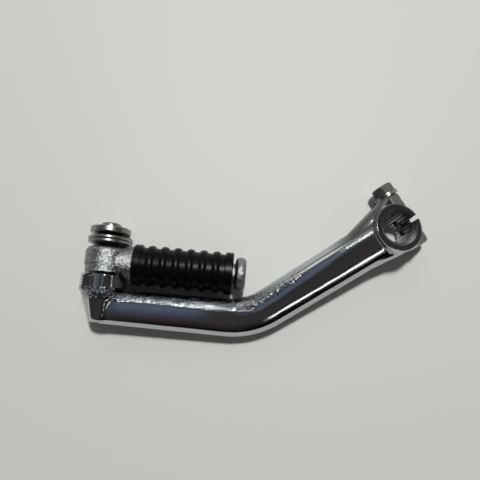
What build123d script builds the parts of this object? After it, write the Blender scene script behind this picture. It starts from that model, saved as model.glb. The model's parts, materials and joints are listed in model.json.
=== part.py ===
from build123d import *
from math import cos, degrees, radians, sin, tan
import os

# Kick start lever, lying as it comes to rest, with its pedal folded along the arm.
# Origin: middle of the shaft bore. +X along the folded pedal towards its tip, +Y along the pivot pin
# towards its peened end, +Z up. Millimetres and degrees.

# Layout of the lever
reach = 160.4                   # bore centre to the pivot axis, along X
drop = 56.0                     # bore centre to the axis of the arm's outer run, along Y
rise_angle = 36.0               # direction of the arm's inner run, turned from X
bend_radius = 40.0              # centreline of the bend
shaft_lean = 12.0               # bore axis from upright, away from the arm

# Clamp boss and its ears, in the boss's own frame: x away from the arm, y along the bolt, z along the bore
boss_radius = 13.9
boss_length = 23.0
boss_rim = 0.8                  # rounding of the boss's two rims
bore_radius = 8.5               # lands between the serrations
bore_chamfer = 2.2
serration_count = 24
serration_depth = 0.8
serration_width = 1.2           # across the mouth of each groove
slit_width = 2.4
lug_radius = 6.4                # ears' round end about the bolt
ear_head_side = 18.8            # slit to the face under the bolt's head
ear_tapped_side = 14.7          # slit to the face where the bolt's tip ends
ear_start = 5.5                 # bore axis to where the ears begin to flare back into the arm
ear_height = 17.0               # ears' height there, from which they taper to the round end
ear_edge = 2.0
flare_length = 24.0             # bore axis to where the arm begins to flare into the ears
flare_sink = 0.3                # flare's narrow end under the arm's skin, and its corners within the ears'

# Clamp bolt and its split washer
bolt_radius = 4.0
bolt_length = 32.0
bolt_across_flats = 12.0
bolt_head_height = 5.3
bolt_head_turn = 30.0           # a corner of the head points up
bolt_head_chamfer = 0.9
bolt_head_face = 0.95           # chamfered face as a share of the width across flats
bolt_tip_chamfer = 0.8
bolt_hole_clearance = 0.25
bolt_drop = 2.4                 # bolt's axis below the boss's middle
bolt_bore_clearance = 0.1       # bolt shank to the bore's lands
bolt_relief = 1.4               # wider hole round the bolt where it passes the bore
split_washer_thickness = 2.0
split_washer_radius = 7.2
split_washer_gap = 1.2

# Arm: a flattened oval with crowned faces that grows from the eye to the boss
arm_width_eye = 19.6
arm_width_boss = 24.5
arm_depth_eye = 16.4
arm_depth_boss = 18.5
arm_crown = 1.8                 # rise of the oval's upper and lower faces
arm_bulge = 2.4                 # rise of its two sides
arm_roundness = 0.36            # corner radius as a share of the depth
arm_height_at_boss = 2.0        # arm's axis above the bore centre, where the two meet

# Eye at the arm's end, its post and stop lug, along the pivot axis
eye_radius = 12.6
eye_tip_radius = 6.4
eye_shoulder = 8.0              # arm's axis to the eye's flat shoulder
eye_tip = 9.2                   # arm's axis to the eye's small end
eye_edge = 0.7
eye_tip_rounding = 3.0
post_radius = 8.6
post_height = 10.5
post_chamfer = 1.2
stop_radius = 13.4              # pivot axis to the stop lug's outer wall
stop_angle = 112.0              # how much of the circle the stop lug fills

# Pedal casting
knuckle_radius = 12.5
knuckle_height = 14.5
knuckle_rounding = 3.4
band_step = 0.7                 # lower band of the knuckle, set back from its sleeve
sleeve_low_left = 4.2           # sleeve's lower edge above the knuckle's foot, at its outer end
sleeve_low_right = 1.6          # the same on the rod's side
skirt_drop = 8.2                # stop skirt below the knuckle's foot
skirt_edge_angle = 46.0         # skirt's edge from the rod, on the upper side
swing = 90.0                    # pedal's swing from folded to standing out
stop_clearance = 0.3            # skirt to lug at both ends of the swing
skirt_clearance = 0.4           # skirt to post, and neck to lug and springs
pin_running_clearance = 0.05
seat_clearance = 0.1            # knuckle to post and to spring
rod_height = 6.0                # rod's axis above the knuckle's foot
rod_radius = 6.0
neck_radius = 10.6
neck_length = 15.6              # pivot axis to the shoulder that the rubber meets
tip_head_radius = 9.7
tip_head_thickness = 6.2
tip_head_rounding = 2.8
tip_neck_length = 1.2           # bare rod between rubber and tip head

# Pedal rubber
rubber_length = 56.2
rubber_radius = 12.0
rib_count = 6                   # rounded ribs between the end collars
rib_height = 1.4
rib_width = 4.6
collar_width = 4.6
collar_edge = 0.6               # rounding of the collars' outer edges
rubber_groove_width = 3.4
rubber_groove_angle = 36.0      # upper groove from upright, towards the arm
rubber_fit_clearance = 0.05

# Pivot pin, disc springs and washer
pin_radius = 5.0
pin_end_cover = 5.0             # metal left under the pin's blind hole
peened_radius = 5.8
peened_height = 2.9
peened_rounding = 1.6
washer_radius = 11.5
washer_thickness = 3.5
washer_edge = 0.7
disc_radius = 12.0
disc_thickness = 1.7
disc_cone = 2.25
disc_edge = 0.45
stack_bore_clearance = 0.25

# Places worked out from the sizes above
lean = radians(shaft_lean)
floor_level = -(boss_radius * sin(lean) + boss_length / 2 * cos(lean))
run_direction = Vector(cos(radians(rise_angle)), sin(radians(rise_angle)), 0)
boss_plane = Plane(
    origin=(0, 0, 0),
    x_dir=run_direction * cos(lean) - Vector(0, 0, sin(lean)),
    z_dir=run_direction * sin(lean) + Vector(0, 0, cos(lean)),
)
bolt_offset = bore_radius + bolt_bore_clearance + bolt_radius
ear_end = bolt_offset + lug_radius
bolt_plane = Plane(
    origin=boss_plane.from_local_coords((bolt_offset, 0, -bolt_drop)),
    x_dir=boss_plane.x_dir,
    z_dir=boss_plane.y_dir,
)

pivot_height = floor_level + eye_radius
pivot_point = Vector(-reach, 0, pivot_height)
pivot_axis = Axis(pivot_point, (0, -1, 0))
shoulder_y = -drop + eye_shoulder
post_top_y = shoulder_y + post_height
knuckle_foot_y = post_top_y + seat_clearance
knuckle_top_y = knuckle_foot_y + knuckle_height
spring_foot_y = knuckle_top_y + seat_clearance
disc_height = disc_thickness + disc_cone
washer_foot_y = spring_foot_y + 2 * disc_height
washer_top_y = washer_foot_y + washer_thickness
pin_foot_y = -drop - eye_tip + pin_end_cover
rod_y = knuckle_foot_y + rod_height
rod_axis = Axis((-reach, rod_y, pivot_height), (1, 0, 0))
rod_plane = Plane(origin=(-reach, rod_y, pivot_height), z_dir=(1, 0, 0))
knuckle_plane = Plane(origin=(-reach, knuckle_foot_y, pivot_height), x_dir=(1, 0, 0), z_dir=(0, 1, 0))
pin_plane = Plane(origin=(-reach, pin_foot_y, pivot_height), x_dir=(1, 0, 0), z_dir=(0, 1, 0))
rubber_start_x = -reach + neck_length
rubber_end_x = rubber_start_x + rubber_length
tip_head_x = rubber_end_x + tip_neck_length
stop_margin = degrees(stop_clearance / post_radius)
stop_start_angle = skirt_edge_angle + swing + stop_margin
skirt_start_angle = stop_start_angle + stop_angle + stop_margin


def pivot_half_plane(angle):
    """Plane through the pivot axis: x outwards, at an angle from the rod towards +Z, y along the pin."""
    a = radians(angle)
    return Plane(origin=pivot_point, x_dir=(cos(a), 0, sin(a)), z_dir=(-sin(a), 0, cos(a)))


def ring_profile(inner, outer, low, high, angle=0):
    """Rectangle in a half plane of the pivot axis, between two radii and from low to high."""
    with BuildSketch(pivot_half_plane(angle)) as profile:
        with Locations(((inner + outer) / 2, (low + high) / 2)):
            Rectangle(outer - inner, high - low)
    return profile.sketch


# Arm's centreline: an outer run from the eye down to the bend, and an inner run that climbs to the boss
arm_depth_bend = (arm_depth_eye + arm_depth_boss) / 2
arm_corners = (
    Vector(-reach, -drop, pivot_height),
    Vector(-drop / tan(radians(rise_angle)), -drop, floor_level + arm_depth_bend / 2),
    Vector(0, 0, arm_height_at_boss),
)
arm_normal = (arm_corners[1] - arm_corners[0]).cross(arm_corners[2] - arm_corners[1])
with BuildLine() as arm_line:
    FilletPolyline(*arm_corners, radius=bend_radius)
arm_path = arm_line.wire()


def arm_section(place, sink=0):
    """Flattened oval across the arm's centreline, from 0 at the eye to 1 at the boss, sunk under its skin."""
    tangent = arm_path % place
    width = arm_width_eye + (arm_width_boss - arm_width_eye) * place - 2 * sink
    depth = arm_depth_eye + (arm_depth_boss - arm_depth_eye) * place - 2 * sink
    with BuildSketch(Plane(arm_path @ place, x_dir=arm_normal.cross(tangent), z_dir=tangent)) as section:
        with BuildLine():
            right, top = width / 2 - arm_bulge, depth / 2 - arm_crown
            ThreePointArc((-right, top), (0, depth / 2), (right, top))
            ThreePointArc((right, top), (width / 2, 0), (right, -top))
            ThreePointArc((right, -top), (0, -depth / 2), (-right, -top))
            ThreePointArc((-right, -top), (-width / 2, 0), (-right, top))
        make_face()
        fillet(section.vertices(), depth * arm_roundness)
    return section.sketch


# Section through both ears, where they begin to flare back into the arm
ear_origin = boss_plane.from_local_coords((ear_start, 0, 0))
with BuildSketch(Plane(origin=ear_origin, x_dir=boss_plane.y_dir, z_dir=boss_plane.x_dir)) as ear_section:
    with Locations(((ear_head_side - ear_tapped_side) / 2, 0)):
        RectangleRounded(ear_head_side + ear_tapped_side, ear_height, ear_edge + flare_sink)

# Kick arm: boss, ears, arm, eye, post and stop lug in one forging
with BuildPart() as ears:
    with BuildSketch(bolt_plane.offset(-ear_tapped_side)):
        Circle(lug_radius)
        with Locations((ear_start - bolt_offset, -bolt_drop)):
            Rectangle(ear_edge, ear_height, align=(Align.MIN, Align.CENTER))
        make_hull()
    extrude(amount=ear_tapped_side + ear_head_side)
    seat_edges = ears.faces().filter_by(bolt_plane).edges()
    fillet(seat_edges - seat_edges.group_by(Axis((0, 0, 0), boss_plane.x_dir))[0], ear_edge)
    loft([ear_section.sketch, arm_section(1 - flare_length / arm_path.length, flare_sink)])

with BuildPart() as kick_arm:
    with BuildSketch(boss_plane.offset(-boss_length / 2)):
        Circle(boss_radius)
    extrude(amount=boss_length)
    fillet(kick_arm.edges().filter_by(GeomType.CIRCLE), boss_rim)
    add(ears.part)
    sweep([arm_section(0), arm_section(1)], path=arm_path, multisection=True)

    # Eye: a cone about the pivot axis with a flat shoulder, the post on it and the stop lug
    with BuildSketch(pivot_half_plane(0)) as eye_profile:
        with BuildLine():
            Polyline(
                (0, -drop - eye_tip),
                (eye_tip_radius, -drop - eye_tip),
                (eye_radius, shoulder_y),
                (post_radius, shoulder_y),
                (post_radius, post_top_y),
                (0, post_top_y),
                close=True,
            )
        make_face()
        fillet(eye_profile.vertices().group_by(Axis.Y)[0].sort_by(Axis.X)[-1], eye_tip_rounding)
        fillet(eye_profile.vertices().sort_by(Axis.X)[-1], eye_edge)
        chamfer(eye_profile.vertices().group_by(Axis.Y)[-1].sort_by(Axis.X)[-1], post_chamfer)
    revolve(axis=pivot_axis)
    stop_profile = ring_profile(
        post_radius - post_chamfer,
        stop_radius,
        shoulder_y,
        post_top_y - post_chamfer,
        stop_start_angle,
    )
    revolve(stop_profile, axis=pivot_axis, revolution_arc=stop_angle)

    # Serrated bore through the boss, both ends faced and chamfered
    with BuildSketch(boss_plane.offset(-boss_length)):
        Circle(bore_radius)
        with PolarLocations(bore_radius, serration_count):
            Polygon(
                (-serration_depth, -serration_width),
                (serration_depth, 0),
                (-serration_depth, serration_width),
                align=None,
            )
    extrude(amount=2 * boss_length, mode=Mode.SUBTRACT)
    for side in (-1, 1):
        mouth = boss_plane.offset(side * boss_length / 2)
        with BuildSketch(mouth):
            Circle(boss_radius)
        extrude(amount=side * boss_length, mode=Mode.SUBTRACT)
        with BuildSketch(mouth):
            Circle(bore_radius + bore_chamfer)
        with BuildSketch(mouth.offset(-side * bore_chamfer)):
            Circle(bore_radius)
        loft(mode=Mode.SUBTRACT)

    # Slit away from the arm, and the bolt hole: clear on the head's side, tapped on the other
    with BuildSketch(boss_plane.offset(-boss_length)):
        with Locations((ear_end, 0)):
            Rectangle(2 * ear_end, slit_width)
    extrude(amount=2 * boss_length, mode=Mode.SUBTRACT)
    with BuildSketch(bolt_plane):
        Circle(bolt_radius + bolt_hole_clearance)
    extrude(amount=2 * ear_head_side, mode=Mode.SUBTRACT)
    with BuildSketch(bolt_plane):
        Circle(bolt_radius)
    extrude(amount=-2 * ear_tapped_side, mode=Mode.SUBTRACT)
    with BuildSketch(bolt_plane):
        Circle(bolt_radius + bolt_relief)
    extrude(amount=bore_radius, both=True, mode=Mode.SUBTRACT)

    # Blind hole that the pin is pressed into
    with BuildSketch(pin_plane):
        Circle(pin_radius)
    extrude(amount=post_top_y - pin_foot_y, mode=Mode.SUBTRACT)

# Foot pedal: knuckle with a sleeve that ends in a double curve, stop skirt, neck, rod and tip head
with BuildPart() as knuckle_sleeve:
    with BuildSketch(Plane(origin=(-reach, knuckle_foot_y, pivot_height))):
        with BuildLine():
            low = Line((-2 * knuckle_radius, sleeve_low_left), (0, sleeve_low_left))
            high = Line((knuckle_radius / 2, sleeve_low_right), (2 * knuckle_radius, sleeve_low_right))
            Spline(low @ 1, high @ 0, tangents=((1, 0), (1, 0)))
            Polyline(
                high @ 1,
                (2 * knuckle_radius, knuckle_height),
                (-2 * knuckle_radius, knuckle_height),
                low @ 0,
            )
        make_face()
    extrude(amount=2 * knuckle_radius, both=True)
    with BuildSketch(knuckle_plane):
        Circle(knuckle_radius)
    extrude(amount=knuckle_height, mode=Mode.INTERSECT)
    fillet(knuckle_sleeve.faces().sort_by(Axis.Y)[-1].edges(), knuckle_rounding)

with BuildPart() as foot_pedal:
    add(knuckle_sleeve.part)
    with BuildSketch(knuckle_plane):
        Circle(knuckle_radius - band_step)
    extrude(amount=knuckle_height - knuckle_rounding)
    with BuildSketch(rod_plane):
        Circle(neck_radius)
    extrude(amount=neck_length)

    # The neck is cut back where it would sweep over the stop lug or meet the springs
    with BuildSketch(knuckle_plane):
        Circle(stop_radius + skirt_clearance)
    extrude(amount=-neck_radius, mode=Mode.SUBTRACT)
    with BuildSketch(knuckle_plane.offset(knuckle_height)):
        Circle(disc_radius + skirt_clearance)
    extrude(amount=neck_radius, mode=Mode.SUBTRACT)
    skirt_profile = ring_profile(
        post_radius + skirt_clearance,
        knuckle_radius - band_step,
        knuckle_foot_y - skirt_drop,
        knuckle_foot_y + sleeve_low_right,
        skirt_start_angle,
    )
    revolve(skirt_profile, axis=pivot_axis, revolution_arc=360 + skirt_edge_angle - skirt_start_angle)
    with BuildSketch(rod_plane):
        Circle(rod_radius)
    extrude(amount=tip_head_x + tip_head_thickness / 2 + reach)
    with BuildSketch(Plane(origin=(tip_head_x, rod_y, pivot_height))):
        RectangleRounded(
            tip_head_thickness, 2 * tip_head_radius, tip_head_rounding, align=(Align.MIN, Align.CENTER)
        )
        with Locations((tip_head_thickness / 2, -tip_head_radius / 2)):
            Rectangle(tip_head_thickness, tip_head_radius, mode=Mode.SUBTRACT)
    revolve(axis=rod_axis)
    with BuildSketch(knuckle_plane):
        Circle(pin_radius + pin_running_clearance)
    extrude(amount=knuckle_height, mode=Mode.SUBTRACT)

# Pedal rubber: a sleeve with square end collars and rounded ribs, which two lengthwise grooves break
rubber_bore = rod_radius + rubber_fit_clearance
root_radius = rubber_radius - rib_height
rib_pitch = (rubber_length - collar_width) / (rib_count + 1)
with BuildPart() as pedal_rubber:
    with BuildSketch(Plane(origin=(rubber_start_x, rod_y, pivot_height))) as rubber_profile:
        with Locations((0, rubber_bore)):
            Rectangle(collar_width, rubber_radius - rubber_bore, align=Align.MIN)
            Rectangle(rubber_length, root_radius - rubber_bore, align=Align.MIN)
        with Locations((rubber_length, rubber_bore)):
            Rectangle(collar_width, rubber_radius - rubber_bore, align=(Align.MAX, Align.MIN))
        fillet(rubber_profile.vertices().group_by(Axis.Y)[-1], collar_edge)
        with Locations((rubber_length / 2, root_radius)):
            with GridLocations(rib_pitch, 0, rib_count, 1):
                Ellipse(rib_width / 2, rib_height)
    revolve(axis=rod_axis)
    rubber_middle = Vector((rubber_start_x + rubber_end_x) / 2, rod_y, pivot_height)
    groove_tilt = radians(rubber_groove_angle)
    groove_up = Vector(0, -sin(groove_tilt), cos(groove_tilt))
    for outwards in (groove_up, -groove_up):
        with BuildSketch(Plane(rubber_middle, x_dir=(1, 0, 0), z_dir=outwards).offset(root_radius)):
            Rectangle(rubber_length - 2 * collar_width, rubber_groove_width)
        extrude(amount=2 * rib_height, mode=Mode.SUBTRACT)

# Pivot pin: shank through the stack and a flattened, peened end on top
with BuildPart() as pivot_pin:
    with BuildSketch(pivot_half_plane(0)) as pin_profile:
        with Locations((0, pin_foot_y)):
            Rectangle(pin_radius, washer_top_y - pin_foot_y, align=Align.MIN)
        with Locations((0, washer_top_y)):
            Rectangle(peened_radius, peened_height, align=Align.MIN)
        fillet(pin_profile.vertices().group_by(Axis.Y)[-1].sort_by(Axis.X)[-1], peened_rounding)
    revolve(axis=pivot_axis)

# Washer and disc springs on the pin
stack_bore = pin_radius + stack_bore_clearance
with BuildPart() as retaining_washer:
    with BuildSketch(pivot_half_plane(0)) as washer_profile:
        with Locations((stack_bore, washer_foot_y)):
            Rectangle(washer_radius - stack_bore, washer_thickness, align=Align.MIN)
        fillet(washer_profile.vertices().group_by(Axis.X)[-1], washer_edge)
    revolve(axis=pivot_axis)


def disc_profile(rim_y, direction):
    """Section of a cone washer whose rim starts at rim_y and whose bore lies further in the direction."""
    with BuildSketch(pivot_half_plane(0)) as profile:
        with BuildLine():
            Polyline(
                (disc_radius, rim_y),
                (disc_radius, rim_y + direction * disc_thickness),
                (stack_bore, rim_y + direction * disc_height),
                (stack_bore, rim_y + direction * disc_cone),
                close=True,
            )
        make_face()
        fillet(profile.vertices().group_by(Axis.X)[-1], disc_edge)
    return profile.sketch


with BuildPart() as upper_disc_spring:
    revolve(disc_profile(spring_foot_y + disc_height, 1), axis=pivot_axis)

with BuildPart() as lower_disc_spring:
    revolve(disc_profile(spring_foot_y + disc_height, -1), axis=pivot_axis)

# Clamp bolt with a chamfered hex head, and the split washer under it
bolt_axis = Axis(bolt_plane.origin, bolt_plane.z_dir)
head_plane = bolt_plane.offset(ear_head_side + split_washer_thickness)
head_corner = bolt_across_flats / 2 / cos(radians(30))
with BuildPart() as clamp_bolt:
    with BuildSketch(head_plane):
        RegularPolygon(bolt_across_flats / 2, 6, major_radius=False, rotation=bolt_head_turn)
    extrude(amount=bolt_head_height)
    with BuildSketch(Plane(head_plane.origin, x_dir=head_plane.x_dir, z_dir=-head_plane.y_dir)):
        with BuildLine():
            Polyline(
                (0, 0),
                (head_corner, 0),
                (head_corner, bolt_head_height - bolt_head_chamfer),
                (bolt_across_flats / 2 * bolt_head_face, bolt_head_height),
                (0, bolt_head_height),
                close=True,
            )
        make_face()
    revolve(axis=bolt_axis, mode=Mode.INTERSECT)
    with BuildSketch(head_plane):
        Circle(bolt_radius)
    extrude(amount=-bolt_length)
    chamfer(clamp_bolt.faces().sort_by(bolt_axis)[0].edges(), bolt_tip_chamfer)

with BuildPart() as clamp_bolt_spring_washer:
    with BuildSketch(bolt_plane.offset(ear_head_side)):
        Circle(split_washer_radius)
        Circle(bolt_radius + bolt_hole_clearance, mode=Mode.SUBTRACT)
        with Locations((-split_washer_radius, 0)):
            Rectangle(2 * split_washer_radius, split_washer_gap, mode=Mode.SUBTRACT)
    extrude(amount=split_washer_thickness)

pieces = {
    "kick_arm": kick_arm,
    "clamp_bolt": clamp_bolt,
    "clamp_bolt_spring_washer": clamp_bolt_spring_washer,
    "foot_pedal": foot_pedal,
    "pedal_rubber": pedal_rubber,
    "pivot_pin": pivot_pin,
    "retaining_washer": retaining_washer,
    "upper_disc_spring": upper_disc_spring,
    "lower_disc_spring": lower_disc_spring,
}
os.makedirs("parts", exist_ok=True)
for name, piece in pieces.items():
    piece.part.label = name
    export_step(piece.part, f"parts/{name}.step")
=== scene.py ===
import json
import math

import bmesh
import bpy
from bpy.props import FloatProperty, FloatVectorProperty, PointerProperty
from bpy.types import Node, NodeSocket, Operator, Panel, PropertyGroup
from mathutils import Matrix, Quaternion, Vector

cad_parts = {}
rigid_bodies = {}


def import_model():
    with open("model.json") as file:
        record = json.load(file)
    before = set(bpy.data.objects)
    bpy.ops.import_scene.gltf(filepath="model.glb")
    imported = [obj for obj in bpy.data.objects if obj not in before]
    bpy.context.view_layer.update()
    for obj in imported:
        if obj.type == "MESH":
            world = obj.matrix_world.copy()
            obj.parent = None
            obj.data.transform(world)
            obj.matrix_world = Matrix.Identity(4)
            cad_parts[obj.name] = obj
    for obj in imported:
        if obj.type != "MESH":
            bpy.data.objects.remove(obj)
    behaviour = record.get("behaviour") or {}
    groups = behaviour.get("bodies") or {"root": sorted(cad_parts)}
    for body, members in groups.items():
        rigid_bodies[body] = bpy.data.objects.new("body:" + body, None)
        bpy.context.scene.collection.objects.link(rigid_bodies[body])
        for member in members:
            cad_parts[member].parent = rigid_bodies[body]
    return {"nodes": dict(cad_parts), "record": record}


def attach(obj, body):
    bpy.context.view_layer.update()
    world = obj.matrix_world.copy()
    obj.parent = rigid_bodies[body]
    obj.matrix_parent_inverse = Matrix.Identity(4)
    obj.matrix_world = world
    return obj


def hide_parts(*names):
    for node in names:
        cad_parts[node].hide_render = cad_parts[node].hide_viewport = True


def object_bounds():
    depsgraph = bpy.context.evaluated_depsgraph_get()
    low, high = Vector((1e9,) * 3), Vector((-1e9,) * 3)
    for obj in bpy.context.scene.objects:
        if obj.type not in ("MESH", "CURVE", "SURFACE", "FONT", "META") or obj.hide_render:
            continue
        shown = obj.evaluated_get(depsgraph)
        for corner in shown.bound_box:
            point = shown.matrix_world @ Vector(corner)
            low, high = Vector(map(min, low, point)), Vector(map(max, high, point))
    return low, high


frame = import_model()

bl_info = {
    "name": "Kick start lever",
    "version": (1, 0, 0),
    "blender": (4, 5, 0),
    "location": "3D View > Sidebar > Kick lever",
    "description": "Finishes a folding kick start lever in chrome, zinc and rubber",
    "category": "Object",
}

MM = 0.001
CAD_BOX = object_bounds()
TABLE_LEVEL = CAD_BOX[0].z

# Where the clamp, its bolt and the arm's two runs lie, as in the CAD
BORE_AXIS = Vector(frame["record"]["mounts"][0]["axis"])
ARM_RISE = math.radians(36)
INNER_RUN = Vector((math.cos(ARM_RISE), math.sin(ARM_RISE), 0))     # from the bend to the clamp
INNER_SIDE = Vector((-math.sin(ARM_RISE), math.cos(ARM_RISE), 0))   # across it, into the crank
OUTER_RUN = -56 * MM                    # axis of the run from the pedal to the bend, along Y
ARM_SIDE = 10.2 * MM                    # just past the arm's side, where the post leaves it
BOLT_OFFSET = 12.6 * MM                 # bolt's axis from the bore's
BOLT_DROP = 2.4 * MM                    # bolt's axis below the boss's middle
BOLT_SEAT = 20.8 * MM                   # underside of the bolt's head from the slit's middle

# Bolt's head: its round face as a share of its width, and the slope of its turned-down corners
HEAD_FACE = 0.95
HEAD_SLOPE = math.radians(36)

# Where one finish of the arm turns into another: from the first distance to the second
GRAINY_SIDE = (2 * MM, 5.5 * MM)        # from a run's axis, into the crank: polished to grainy
SATIN_FLARE = (3 * MM, 8 * MM)          # the same way, beside the clamp: polished to satin
SATIN_EARS = (6 * MM, 10 * MM)          # past the bore, away from the arm: polished to satin
SATIN_END = (26 * MM, 40 * MM)          # from the bore's axis: satin to polished
GRAIN_START = (50 * MM, 90 * MM)        # from the bore's axis: polished to grainy
BORE_MOUTH = (10.6 * MM, 10.8 * MM)     # from the bore's axis: dull to polished
BLEND_START = (12 * MM, 15 * MM)        # from the bore's axis: sharp edges to blended ones
FACED_END = 0.985                       # cosine to that axis on the clamp's smooth upper end

# Roughness of the arm: polished, in the streaks of the polishing wheel, and satin
MIRROR, HAZE, SATIN = 0.05, 0.12, 0.38
SATIN_GRAIN = 0.25                      # share of the forging's grain that shows on satin steel
STREAK_DRAW = 0.06                      # width of a streak to its length

# What the chrome mirrors, from the near side of the room (0) to its far side (1)
DAYLIGHT = (
    (0, "#060304"), (0.12, "#251d23"), (0.22, "#433c41"), (0.3, "#4b4b5d"),
    (0.47, "#5d6a7d"), (0.6, "#646e81"), (0.78, "#7a7d80"), (1, "#8e9294"),
)
DIM_ROOM = ((0, "#0a0909"), (0.2, "#403d3c"), (0.6, "#353534"), (0.8, "#606163"), (1, "#84888a"))

# How the room lies round the lever, in parts of a direction of length 1
FAR_SIDE = Vector((-0.6, 0.8, 0))
ROOM_DEPTH = 0.8                        # from the middle to the near and the far side
DAYLIGHT_MIDDLE = -0.06                 # middle of the strip of daylight, along X
DAYLIGHT_EDGE = (0.06, 0.11)            # either way from its middle: daylight to dim room
BACKDROP_TOP = (0.1, 0.22)              # upwards: pale backdrop to room

# Middle of the picture, and the lamps that face it: name, azimuth and elevation in degrees,
# distance and size in metres, power in watts
LOOK_AT = Vector((-86.1 * MM, -11.0 * MM, TABLE_LEVEL + 10 * MM))
LAMPS = (
    ("key_lamp", 6, 71, 2.2, (0.2, 0.2), 31),
    ("arm_lamp", 6, 68, 2.2, (0.2, 0.36), 7),
    ("window", -12, 42, 1.4, (1.0, 0.5), 1.3),
    ("side_window", 54, 24, 1.2, (0.5, 0.3), 0.35),
    ("strip_lamp", 138, 47, 1.2, (0.42, 0.08), 0.26),
)

# A Mix node's sockets share their names, so they go by number: two values, or two colours
MIX_FACTOR = 0
VALUE_A, VALUE_B = 2, 3
COLOUR_A, COLOUR_B, COLOUR_RESULT = 6, 7, 2


def linear(hex_colour):
    """Linear RGB of an sRGB colour written as #rrggbb."""
    parts = (int(hex_colour[i:i + 2], 16) / 255 for i in (1, 3, 5))
    return tuple(c / 12.92 if c <= 0.04045 else ((c + 0.055) / 1.055) ** 2.4 for c in parts)


def add_node(tree, kind, inputs=None, **settings):
    """Adds a node with its settings. An input is a value, an output, or a node's first output."""
    node = tree.nodes.new(kind)
    for name, value in settings.items():
        setattr(node, name, value)
    for socket, value in (inputs or {}).items():
        if isinstance(value, Node):
            value = value.outputs[0]
        if isinstance(value, NodeSocket):
            tree.links.new(value, node.inputs[socket])
        else:
            node.inputs[socket].default_value = value
    return node


def new_material(name):
    """A material and its empty tree."""
    material = bpy.data.materials.new(name)
    material.use_nodes = True
    material.node_tree.nodes.clear()
    return material, material.node_tree


def per_mm(size):
    """Texture scale for a pattern's size in millimetres, on Object coordinates in metres."""
    return 1 / (size * MM)


def give(material, *nodes):
    """Puts a material on CAD nodes."""
    for name in nodes:
        mesh = frame["nodes"][name].data
        mesh.materials.clear()
        mesh.materials.append(material)


class KickLeverFinish(PropertyGroup):
    """Colours and grain of the lever's finishes."""

    chrome: FloatVectorProperty(
        name="Chrome", description="Colour of the chrome plate",
        subtype="COLOR", default=linear("#c6c8c9"),
    )
    worn: FloatVectorProperty(
        name="Worn chrome", description="Colour of the plate on the crank's grainy inner side",
        subtype="COLOR", default=linear("#8a8d93"),
    )
    satin_steel: FloatVectorProperty(
        name="Satin steel", description="Colour of the ears and the flare beside the clamp",
        subtype="COLOR", default=linear("#6e706e"),
    )
    casting: FloatVectorProperty(
        name="Casting", description="Colour of the plate on the rough casting",
        subtype="COLOR", default=linear("#a2a4a5"),
    )
    # Painted shade: the darker colour that the casting's grain gets in its hollows, where shade
    # falls
    hollow_shade: FloatVectorProperty(
        name="Hollows", description="Colour in the hollows of the casting's grain",
        subtype="COLOR", default=linear("#5a5c5c"),
    )
    cast_grain: FloatProperty(
        name="Cast grain", description="Size of the casting's grain",
        default=1.3 * MM, unit="LENGTH",
    )
    zinc: FloatVectorProperty(
        name="Zinc", description="Colour of the zinc plate",
        subtype="COLOR", default=linear("#979b95"),
    )
    rubber: FloatVectorProperty(
        name="Rubber", description="Colour of the pedal rubber",
        subtype="COLOR", default=linear("#05070a"),
    )


class KickLeverBolt(PropertyGroup):
    """Threaded hex bolt of the clamp."""

    radius: FloatProperty(
        name="Radius", description="Outer radius of the thread", default=4 * MM, unit="LENGTH"
    )
    pitch: FloatProperty(
        name="Pitch", description="Pitch of the thread", default=1.25 * MM, unit="LENGTH"
    )
    thread_depth: FloatProperty(
        name="Thread depth", description="Depth of the thread's groove",
        default=0.65 * MM, unit="LENGTH",
    )
    length: FloatProperty(
        name="Length", description="Length below the head", default=32 * MM, unit="LENGTH"
    )
    across_flats: FloatProperty(
        name="Across flats", description="Width of the head", default=12 * MM, unit="LENGTH"
    )
    head_height: FloatProperty(
        name="Head height", description="Height of the head", default=5.3 * MM, unit="LENGTH"
    )
    head_turn: FloatProperty(
        name="Head turn", description="How far the head is turned",
        default=math.radians(33), subtype="ANGLE",
    )


class KickLeverStage(PropertyGroup):
    """Table, backdrop and camera."""

    table: FloatVectorProperty(
        name="Table", description="Colour of the table",
        subtype="COLOR", default=linear("#cfd0cb"),
    )
    table_size: FloatProperty(
        name="Table size", description="Side of the square table", default=6, unit="LENGTH"
    )
    backdrop: FloatVectorProperty(
        name="Backdrop", description="Colour behind the table",
        subtype="COLOR", default=linear("#dcddda"),
    )
    camera_distance: FloatProperty(
        name="Camera distance", description="Camera to the point it looks at",
        default=0.325, unit="LENGTH",
    )
    camera_elevation: FloatProperty(
        name="Camera elevation", description="Camera above the table's plane",
        default=math.radians(79.5), subtype="ANGLE",
    )
    camera_roll: FloatProperty(
        name="Camera roll", description="Turn of the picture",
        default=math.radians(5), subtype="ANGLE",
    )
    lens: FloatProperty(
        name="Lens", description="Focal length on a 36 mm sensor", default=42, unit="CAMERA"
    )


def grainy_side(tree, place, aside, from_bore):
    """Where the crank's inner side is grainy: in patches, and not on the post or near the clamp."""
    unreached = add_node(tree, "ShaderNodeMapRange", {
        "Value": aside, "From Min": GRAINY_SIDE[0], "From Max": GRAINY_SIDE[1],
    })
    on_arm = add_node(tree, "ShaderNodeMath", {0: aside, 1: ARM_SIDE}, operation="LESS_THAN")
    patches = add_node(
        tree, "ShaderNodeTexNoise", {"Vector": place, "Scale": per_mm(9), "Detail": 3.0}
    )
    scuffed = add_node(tree, "ShaderNodeMapRange", {
        "Value": patches, "From Min": 0.4, "From Max": 0.6, "To Min": 0.7, "To Max": 1.0,
    })
    off_clamp = add_node(tree, "ShaderNodeMapRange", {
        "Value": from_bore, "From Min": GRAIN_START[0], "From Max": GRAIN_START[1],
    })
    grainy = unreached
    for mask in (on_arm, scuffed, off_clamp):
        grainy = add_node(tree, "ShaderNodeMath", {0: grainy, 1: mask}, operation="MULTIPLY")
    return grainy


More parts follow.
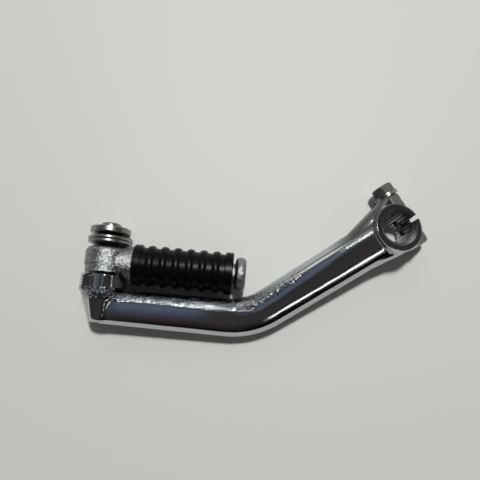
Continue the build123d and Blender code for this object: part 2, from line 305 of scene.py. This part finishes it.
def satin_clamp(tree, coordinates, inner_run, from_bore):
    """Where the ears and the flare beside the clamp are satin, without its smooth upper end."""
    past_bore = add_node(tree, "ShaderNodeVectorMath", {
        0: coordinates.outputs["Object"], 1: INNER_RUN,
    }, operation="DOT_PRODUCT").outputs["Value"]
    ears = add_node(tree, "ShaderNodeMapRange", {
        "Value": past_bore, "From Min": SATIN_EARS[0], "From Max": SATIN_EARS[1],
    })
    flare = add_node(tree, "ShaderNodeMapRange", {
        "Value": inner_run, "From Min": SATIN_FLARE[0], "From Max": SATIN_FLARE[1],
    })
    near_clamp = add_node(tree, "ShaderNodeMapRange", {
        "Value": from_bore, "From Min": SATIN_END[0], "From Max": SATIN_END[1],
        "To Min": 1.0, "To Max": 0.0,
    })
    facing = add_node(tree, "ShaderNodeVectorMath", {
        0: coordinates.outputs["Normal"], 1: BORE_AXIS,
    }, operation="DOT_PRODUCT").outputs["Value"]
    slanted = add_node(tree, "ShaderNodeMath", {0: facing, 1: FACED_END}, operation="LESS_THAN")
    satin = add_node(tree, "ShaderNodeMath", {0: ears, 1: flare}, operation="MAXIMUM")
    for mask in (near_clamp, slanted):
        satin = add_node(tree, "ShaderNodeMath", {0: satin, 1: mask}, operation="MULTIPLY")
    return satin


def forged_surface(tree, place, from_bore, grain_strength):
    """Blended junctions but sharp serrations, slight waves of hand polishing, grain and pits."""
    blend = add_node(tree, "ShaderNodeMapRange", {
        "Value": from_bore, "From Min": BLEND_START[0], "From Max": BLEND_START[1],
        "To Min": 0.1 * MM, "To Max": 2 * MM,
    })
    blended = add_node(tree, "ShaderNodeBevel", {"Radius": blend}, samples=8)
    waves = add_node(
        tree, "ShaderNodeTexNoise", {"Vector": place, "Scale": per_mm(14), "Detail": 1.0}
    )
    wavy = add_node(tree, "ShaderNodeBump", {
        "Height": waves, "Strength": 0.3, "Distance": 0.25 * MM, "Normal": blended,
    })

    # The forging's grain and pits are finer, and are drawn as coarse as they need to show
    grain = add_node(
        tree, "ShaderNodeTexNoise", {"Vector": place, "Scale": per_mm(1.6), "Detail": 2.0}
    )
    pits = add_node(tree, "ShaderNodeTexVoronoi", {"Vector": place, "Scale": per_mm(1.7)})
    dents = add_node(tree, "ShaderNodeMapRange", {"Value": pits, "From Max": 0.3})
    relief = add_node(tree, "ShaderNodeMath", {0: grain, 1: dents}, operation="ADD")
    return add_node(tree, "ShaderNodeBump", {
        "Height": relief, "Strength": grain_strength, "Distance": 0.9 * MM, "Normal": wavy,
    })


def wheel_streaks(tree, axes, aside):
    """Roughness in faint streaks of the polishing wheel along the arm."""
    # The streaks are finer, and are drawn as coarse as they need to show
    drawn_out = add_node(
        tree, "ShaderNodeMath", {0: axes.outputs["X"], 1: STREAK_DRAW}, operation="MULTIPLY"
    )
    streak_place = add_node(
        tree, "ShaderNodeCombineXYZ", {"X": aside, "Y": drawn_out, "Z": axes.outputs["Z"]}
    )
    streaks = add_node(
        tree, "ShaderNodeTexNoise", {"Vector": streak_place, "Scale": per_mm(1.8), "Detail": 3.0}
    )
    return add_node(tree, "ShaderNodeMapRange", {
        "Value": streaks, "From Min": 0.35, "From Max": 0.65, "To Min": MIRROR, "To Max": HAZE,
    })


def polished_chrome(finish):
    """Chrome plate on a polished forging.

    It is a mirror, with faint streaks of the polishing wheel along the arm. The wheel reached less
    well into the crank's inner side, where the forging's grain and pits glitter. The ears and the
    flare beside the clamp are satin steel, and the bore is dull.
    """
    material, tree = new_material("chrome_plate_polished")
    coordinates = add_node(tree, "ShaderNodeTexCoord")
    place = coordinates.outputs["Object"]
    axes = add_node(tree, "ShaderNodeSeparateXYZ", {0: place})

    # How far a place lies to the crank's inner side, from the nearer of the arm's two runs
    inner_run = add_node(
        tree, "ShaderNodeVectorMath", {0: place, 1: INNER_SIDE}, operation="DOT_PRODUCT"
    ).outputs["Value"]
    outer_run = add_node(
        tree, "ShaderNodeMath", {0: axes.outputs["Y"], 1: OUTER_RUN}, operation="SUBTRACT"
    )
    aside = add_node(tree, "ShaderNodeMath", {0: inner_run, 1: outer_run}, operation="MINIMUM")

    # How far it lies from the bore's axis
    along = add_node(
        tree, "ShaderNodeVectorMath", {0: place, 1: BORE_AXIS}, operation="DOT_PRODUCT"
    ).outputs["Value"]
    foot = add_node(
        tree, "ShaderNodeVectorMath", {0: BORE_AXIS, "Scale": along}, operation="SCALE"
    )
    from_bore = add_node(
        tree, "ShaderNodeVectorMath", {0: place, 1: foot}, operation="DISTANCE"
    ).outputs["Value"]

    grainy = grainy_side(tree, place, aside, from_bore)
    satin = satin_clamp(tree, coordinates, inner_run, from_bore)
    bore = add_node(tree, "ShaderNodeMapRange", {
        "Value": from_bore, "From Min": BORE_MOUTH[0], "From Max": BORE_MOUTH[1],
        "To Min": 1.0, "To Max": 0.0,
    })
    grain_strength = add_node(
        tree, "ShaderNodeMath", {0: satin, 1: SATIN_GRAIN, 2: grainy}, operation="MULTIPLY_ADD"
    )
    normal = forged_surface(tree, place, from_bore, grain_strength)
    polish = add_node(tree, "ShaderNodeMix", {
        MIX_FACTOR: grainy, VALUE_A: wheel_streaks(tree, axes, aside), VALUE_B: MIRROR,
    })
    unpolished = add_node(tree, "ShaderNodeMath", {0: satin, 1: bore}, operation="MAXIMUM")
    roughness = add_node(
        tree, "ShaderNodeMix", {MIX_FACTOR: unpolished, VALUE_A: polish, VALUE_B: SATIN}
    )
    plate = add_node(tree, "ShaderNodeMix", {
        MIX_FACTOR: grainy, COLOUR_A: (*finish.chrome, 1), COLOUR_B: (*finish.worn, 1),
    }, data_type="RGBA").outputs[COLOUR_RESULT]
    colour = add_node(tree, "ShaderNodeMix", {
        MIX_FACTOR: satin, COLOUR_A: plate, COLOUR_B: (*finish.satin_steel, 1),
    }, data_type="RGBA").outputs[COLOUR_RESULT]
    shader = add_node(tree, "ShaderNodeBsdfPrincipled", {
        "Base Color": colour, "Metallic": 1.0, "Roughness": roughness, "Normal": normal,
    })
    add_node(tree, "ShaderNodeOutputMaterial", {"Surface": shader})
    return material


def cast_chrome(finish):
    """Chrome plate on an unpolished casting: a coarse grain whose tops keep the plate's colour,
    with painted shade in its dark hollows.
    """
    material, tree = new_material("chrome_plate_as_cast")
    place = add_node(tree, "ShaderNodeTexCoord").outputs["Object"]

    # The casting's grain is finer, and is drawn as coarse as it needs to show
    grain_size = finish.cast_grain / MM
    lumps = add_node(tree, "ShaderNodeTexNoise", {
        "Vector": place, "Scale": per_mm(3 * grain_size), "Detail": 2.0,
    })
    lumpy = add_node(
        tree, "ShaderNodeBump", {"Height": lumps, "Strength": 0.5, "Distance": 0.8 * MM}
    )
    grain = add_node(tree, "ShaderNodeTexNoise", {
        "Vector": place, "Scale": per_mm(grain_size), "Detail": 3.0, "Roughness": 0.7,
    })
    bump = add_node(tree, "ShaderNodeBump", {
        "Height": grain, "Strength": 1.0, "Distance": 0.5 * MM, "Normal": lumpy,
    })
    # Painted shade: the grain's hollows take the darker colour, its tops the plate's
    tops = add_node(
        tree, "ShaderNodeMapRange", {"Value": grain, "From Min": 0.34, "From Max": 0.58}
    )
    colour = add_node(tree, "ShaderNodeMix", {
        MIX_FACTOR: tops, COLOUR_A: (*finish.hollow_shade, 1), COLOUR_B: (*finish.casting, 1),
    }, data_type="RGBA").outputs[COLOUR_RESULT]
    shader = add_node(tree, "ShaderNodeBsdfPrincipled", {
        "Base Color": colour, "Metallic": 1.0, "Roughness": 0.3, "Normal": bump,
    })
    add_node(tree, "ShaderNodeOutputMaterial", {"Surface": shader})
    return material


def zinc_plate(finish):
    """Zinc plate on turned and pressed steel: grey with a green tinge, soft gloss."""
    material, tree = new_material("zinc_plate")
    place = add_node(tree, "ShaderNodeTexCoord").outputs["Object"]
    stains = add_node(
        tree, "ShaderNodeTexNoise", {"Vector": place, "Scale": per_mm(4), "Detail": 4.0}
    )
    roughness = add_node(tree, "ShaderNodeMapRange", {
        "Value": stains, "From Min": 0.3, "From Max": 0.7, "To Min": 0.22, "To Max": 0.36,
    })

    # The plate's crystals are finer, and are drawn as coarse as they need to show
    crystals = add_node(
        tree, "ShaderNodeTexNoise", {"Vector": place, "Scale": per_mm(1.1), "Detail": 3.0}
    )
    bump = add_node(
        tree, "ShaderNodeBump", {"Height": crystals, "Strength": 0.12, "Distance": 0.25 * MM}
    )
    shader = add_node(tree, "ShaderNodeBsdfPrincipled", {
        "Base Color": (*finish.zinc, 1), "Metallic": 1.0, "Roughness": roughness, "Normal": bump,
    })
    add_node(tree, "ShaderNodeOutputMaterial", {"Surface": shader})
    return material


def moulded_rubber(finish):
    """Moulded natural rubber: near black, with a satin sheen."""
    material, tree = new_material("moulded_rubber")
    place = add_node(tree, "ShaderNodeTexCoord").outputs["Object"]

    # The mould's grain is finer, and is drawn as coarse as it needs to show
    grain = add_node(
        tree, "ShaderNodeTexNoise", {"Vector": place, "Scale": per_mm(0.7), "Detail": 3.0}
    )
    bump = add_node(
        tree, "ShaderNodeBump", {"Height": grain, "Strength": 0.25, "Distance": 0.2 * MM}
    )
    shader = add_node(tree, "ShaderNodeBsdfPrincipled", {
        "Base Color": (*finish.rubber, 1),
        "Roughness": 0.3,
        "Specular IOR Level": 0.12,
        "Normal": bump,
    })
    add_node(tree, "ShaderNodeOutputMaterial", {"Surface": shader})
    return material


class KICKLEVER_OT_arm(Operator):
    """Polished chrome on the arm."""

    bl_idname = "kicklever.arm"
    bl_label = "Arm"

    def execute(self, context):
        give(polished_chrome(context.scene.kick_lever_finish), "kick_arm")
        return {"FINISHED"}


class KICKLEVER_OT_pedal(Operator):
    """Rough cast chrome on the pedal casting."""

    bl_idname = "kicklever.pedal"
    bl_label = "Pedal casting"

    def execute(self, context):
        give(cast_chrome(context.scene.kick_lever_finish), "foot_pedal")
        return {"FINISHED"}


class KICKLEVER_OT_rubber(Operator):
    """Black rubber on the pedal sleeve."""

    bl_idname = "kicklever.rubber"
    bl_label = "Pedal rubber"

    def execute(self, context):
        give(moulded_rubber(context.scene.kick_lever_finish), "pedal_rubber")
        return {"FINISHED"}


def threaded_bolt(bolt):
    """Hex bolt across the clamp's slit, with a cut thread."""
    bm = bmesh.new()

    # Hex head with its corners turned down to a cone
    corner = bolt.across_flats / 2 / math.cos(math.radians(30))
    face_radius = HEAD_FACE * bolt.across_flats / 2
    lift = Matrix.Translation((0, 0, bolt.head_height / 2))
    bmesh.ops.create_cone(
        bm, cap_ends=True, segments=6, radius1=corner, radius2=corner, depth=bolt.head_height,
        matrix=lift @ Matrix.Rotation(bolt.head_turn, 4, "Z"),
    )
    rim_edges = [
        edge for edge in bm.edges if min(v.co.z for v in edge.verts) > bolt.head_height / 2
    ]
    bmesh.ops.subdivide_edges(bm, edges=rim_edges, cuts=7)
    top = max(bm.faces, key=lambda face: face.calc_center_median().z)
    rim = list(top.verts)
    bmesh.ops.inset_individual(bm, faces=[top], thickness=0.3 * MM)
    for v in top.verts:
        v.co.xy = v.co.xy.normalized() * face_radius
    for v in rim:
        v.co.z -= math.tan(HEAD_SLOPE) * (v.co.xy.length - face_radius)

    # Core, and the thread's ridge swept round it, from a pitch above the tip to one below the head
    core = bolt.radius - bolt.thread_depth
    bmesh.ops.create_cone(
        bm, cap_ends=True, segments=32, radius1=core, radius2=core, depth=bolt.length,
        matrix=Matrix.Translation((0, 0, -bolt.length / 2)),
    )
    foot = bm.verts.new((core, 0, bolt.pitch - bolt.length))
    crest = bm.verts.new((bolt.radius, 0, 1.5 * bolt.pitch - bolt.length))
    back = bm.verts.new((core, 0, 2 * bolt.pitch - bolt.length))
    flanks = [bm.edges.new((foot, crest)), bm.edges.new((crest, back))]
    turns = int(bolt.length / bolt.pitch) - 2
    steps = 24
    bmesh.ops.spin(
        bm, geom=[foot, crest, back, *flanks], cent=(0, 0, 0), axis=(0, 0, 1),
        dvec=(0, 0, bolt.pitch / steps), angle=2 * math.pi * turns, steps=turns * steps,
    )
    bmesh.ops.remove_doubles(bm, verts=bm.verts, dist=0.001 * MM)

    # To its place in the clamp's ears
    axis = BORE_AXIS.cross(INNER_RUN).normalized()
    out = axis.cross(BORE_AXIS)
    seat = BOLT_OFFSET * out - BOLT_DROP * BORE_AXIS + BOLT_SEAT * axis
    turned = Matrix((out, -BORE_AXIS, axis)).transposed().to_4x4()
    bmesh.ops.transform(bm, matrix=Matrix.Translation(seat) @ turned, verts=bm.verts)
    bmesh.ops.recalc_face_normals(bm, faces=bm.faces)

    mesh = bpy.data.meshes.new("threaded_clamp_bolt")
    bm.to_mesh(mesh)
    bm.free()
    piece = bpy.data.objects.new("threaded_clamp_bolt", mesh)
    bpy.context.scene.collection.objects.link(piece)
    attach(piece, "arm")
    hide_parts("clamp_bolt")
    return piece


class KICKLEVER_OT_hardware(Operator):
    """Threaded bolt, and zinc plate on it, the pin, the washers and the springs."""

    bl_idname = "kicklever.hardware"
    bl_label = "Bolt, pin and washers"

    def execute(self, context):
        zinc = zinc_plate(context.scene.kick_lever_finish)
        threaded_bolt(context.scene.kick_lever_bolt).data.materials.append(zinc)
        give(
            zinc, "clamp_bolt", "clamp_bolt_spring_washer", "pivot_pin", "retaining_washer",
            "upper_disc_spring", "lower_disc_spring",
        )
        return {"FINISHED"}


def add_table(stage):
    """Pale table with a satin coat of paint, which takes the lever's shadow."""
    bpy.ops.mesh.primitive_plane_add(
        size=stage.table_size, location=(LOOK_AT.x, LOOK_AT.y, TABLE_LEVEL)
    )
    table = bpy.context.object
    table.name = "table"
    material, tree = new_material("painted_table")
    shader = add_node(
        tree, "ShaderNodeBsdfPrincipled", {"Base Color": (*stage.table, 1), "Roughness": 0.55}
    )
    add_node(tree, "ShaderNodeOutputMaterial", {"Surface": shader})
    table.data.materials.append(material)


def from_sky(azimuth, elevation):
    """Direction up from the table, in degrees. Azimuth 0 is the far side, 90 the clamp's side."""
    a, e = math.radians(azimuth), math.radians(elevation)
    return Vector((math.sin(a) * math.cos(e), math.cos(a) * math.cos(e), math.sin(e)))


def add_lamp(name, azimuth, elevation, distance, size, power):
    """Rectangular area lamp that faces the middle of the picture."""
    data = bpy.data.lights.new(name, "AREA")
    data.shape = "RECTANGLE"
    data.size, data.size_y = size
    data.energy = power
    lamp = bpy.data.objects.new(name, data)
    bpy.context.scene.collection.objects.link(lamp)
    out = from_sky(azimuth, elevation)
    lamp.location = LOOK_AT + out * distance
    lamp.rotation_mode = "QUATERNION"
    lamp.rotation_quaternion = out.to_track_quat("Z", "Y")
    return lamp


def dim_room(backdrop):
    """World with a strip of daylight in a dim room, above a pale backdrop."""
    world = bpy.data.worlds.new("room")
    world.use_nodes = True
    tree = world.node_tree
    tree.nodes.clear()
    direction = add_node(tree, "ShaderNodeTexCoord").outputs["Generated"]
    axes = add_node(tree, "ShaderNodeSeparateXYZ", {0: direction})
    depth = add_node(
        tree, "ShaderNodeVectorMath", {0: direction, 1: FAR_SIDE}, operation="DOT_PRODUCT"
    ).outputs["Value"]
    far = add_node(tree, "ShaderNodeMapRange", {
        "Value": depth, "From Min": -ROOM_DEPTH, "From Max": ROOM_DEPTH,
    })
    ramps = []
    for stops in (DAYLIGHT, DIM_ROOM):
        ramp = add_node(tree, "ShaderNodeValToRGB", {"Fac": far})
        shades = ramp.color_ramp.elements
        for position, shade in stops[1:-1]:
            shades.new(position).color = (*linear(shade), 1)
        shades[0].color = (*linear(stops[0][1]), 1)
        shades[-1].color = (*linear(stops[-1][1]), 1)
        ramps.append(ramp)
    across = add_node(
        tree, "ShaderNodeMath", {0: axes.outputs["X"], 1: DAYLIGHT_MIDDLE}, operation="SUBTRACT"
    )
    aside = add_node(tree, "ShaderNodeMath", {0: across}, operation="ABSOLUTE")
    dim = add_node(tree, "ShaderNodeMapRange", {
        "Value": aside, "From Min": DAYLIGHT_EDGE[0], "From Max": DAYLIGHT_EDGE[1],
    })
    room = add_node(tree, "ShaderNodeMix", {
        MIX_FACTOR: dim, COLOUR_A: ramps[0], COLOUR_B: ramps[1],
    }, data_type="RGBA").outputs[COLOUR_RESULT]

    # The backdrop stands low all round, and the camera sees nothing else behind the table
    low = add_node(tree, "ShaderNodeMapRange", {
        "Value": axes.outputs["Z"], "From Min": BACKDROP_TOP[0], "From Max": BACKDROP_TOP[1],
        "To Min": 1.0, "To Max": 0.0,
    })
    path = add_node(tree, "ShaderNodeLightPath")
    pale = add_node(
        tree, "ShaderNodeMath", {0: path.outputs["Is Camera Ray"], 1: low}, operation="MAXIMUM"
    )
    colour = add_node(tree, "ShaderNodeMix", {
        MIX_FACTOR: pale, COLOUR_A: room, COLOUR_B: (*backdrop, 1),
    }, data_type="RGBA").outputs[COLOUR_RESULT]
    glow = add_node(tree, "ShaderNodeBackground", {"Color": colour})
    add_node(tree, "ShaderNodeOutputWorld", {"Surface": glow}, is_active_output=True)
    return world


def add_camera(stage):
    """Camera above the near side of the table."""
    camera = bpy.data.objects.new("camera", bpy.data.cameras.new("camera"))
    bpy.context.scene.collection.objects.link(camera)
    camera.data.lens = stage.lens
    camera.data.clip_start = 10 * MM
    out = from_sky(180, math.degrees(stage.camera_elevation))
    roll = Quaternion((0, 0, 1), stage.camera_roll)
    camera.location = LOOK_AT + out * stage.camera_distance
    camera.rotation_mode = "QUATERNION"
    camera.rotation_quaternion = out.to_track_quat("Z", "Y") @ roll
    return camera


class KICKLEVER_OT_stage(Operator):
    """Table, soft lamps, a dim room and the camera."""

    bl_idname = "kicklever.stage"
    bl_label = "Stage"

    def execute(self, context):
        scene = context.scene
        add_table(scene.kick_lever_stage)
        lamps = {name: add_lamp(name, *settings) for name, *settings in LAMPS}

        # A flag keeps the key light off the bright arm, where it would burn out
        lit = bpy.data.collections.new("lit_by_key_lamp")
        for obj in scene.objects:
            if obj.type == "MESH" and obj != frame["nodes"]["kick_arm"]:
                lit.objects.link(obj)
        lamps["key_lamp"].light_linking.receiver_collection = lit

        scene.world = dim_room(scene.kick_lever_stage.backdrop)
        scene.view_settings.view_transform = "Standard"
        scene.camera = add_camera(scene.kick_lever_stage)
        return {"FINISHED"}


GROUPS = {
    "kick_lever_finish": KickLeverFinish,
    "kick_lever_bolt": KickLeverBolt,
    "kick_lever_stage": KickLeverStage,
}
STEPS = (
    KICKLEVER_OT_arm,
    KICKLEVER_OT_pedal,
    KICKLEVER_OT_rubber,
    KICKLEVER_OT_hardware,
    KICKLEVER_OT_stage,
)


class KICKLEVER_PT_panel(Panel):
    """Lists the lever's settings and its steps."""

    bl_idname = "KICKLEVER_PT_panel"
    bl_label = "Kick start lever"
    bl_space_type = "VIEW_3D"
    bl_region_type = "UI"
    bl_category = "Kick lever"

    def draw(self, context):
        for name, group in GROUPS.items():
            for setting in group.__annotations__:
                self.layout.prop(getattr(context.scene, name), setting)
        for step in STEPS:
            self.layout.operator(step.bl_idname)


CLASSES = (*GROUPS.values(), *STEPS, KICKLEVER_PT_panel)


def register():
    for cls in CLASSES:
        bpy.utils.register_class(cls)
    for name, group in GROUPS.items():
        setattr(bpy.types.Scene, name, PointerProperty(type=group))


def unregister():
    for name in GROUPS:
        delattr(bpy.types.Scene, name)
    for cls in reversed(CLASSES):
        bpy.utils.unregister_class(cls)


def main():
    register()
    bpy.ops.kicklever.arm()
    bpy.ops.kicklever.pedal()
    bpy.ops.kicklever.rubber()
    bpy.ops.kicklever.hardware()
    bpy.ops.kicklever.stage()


if __name__ == "__main__":
    main()
